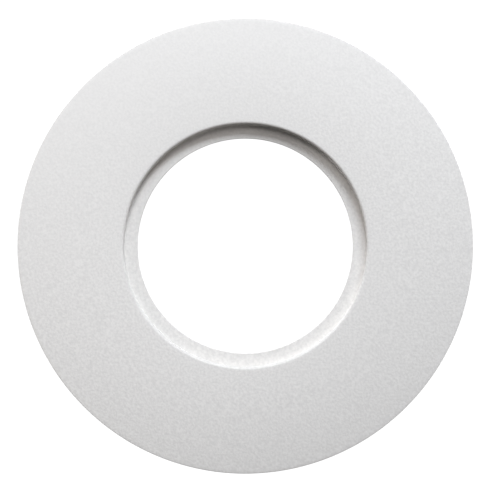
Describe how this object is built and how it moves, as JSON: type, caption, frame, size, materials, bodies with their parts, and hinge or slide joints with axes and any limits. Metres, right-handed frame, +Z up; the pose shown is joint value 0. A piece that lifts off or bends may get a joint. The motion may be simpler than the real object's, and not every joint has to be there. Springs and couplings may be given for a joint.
{
  "type": "fire sprinkler trim ring",
  "caption": "Round white ceiling trim ring for a fire sprinkler: crowned pressed-steel flange with a recessed lip round a clear opening, and a foam gasket behind the rim.",
  "frame": {"origin": "centre of the opening, in the middle of the lip's thickness", "axes": "Y is the ring's axis: the face looks towards -Y, out of the ceiling, and the ceiling is on the +Y side; +Z is up in the plane of the ring, as it is when the ring is looked at straight on"},
  "size_m": [0.127, 0.0044, 0.127],
  "materials": {
    "white_powder_coat": "white powder coat on sheet steel, matt, with a fine even grain",
    "gasket_foam": "soft closed-cell foam, dark grey, cut surfaces with fine open cells"
  },
  "bodies": {
    "root": {"trim_ring": "white_powder_coat", "ceiling_gasket": "gasket_foam"}
  },
  "joints": []
}
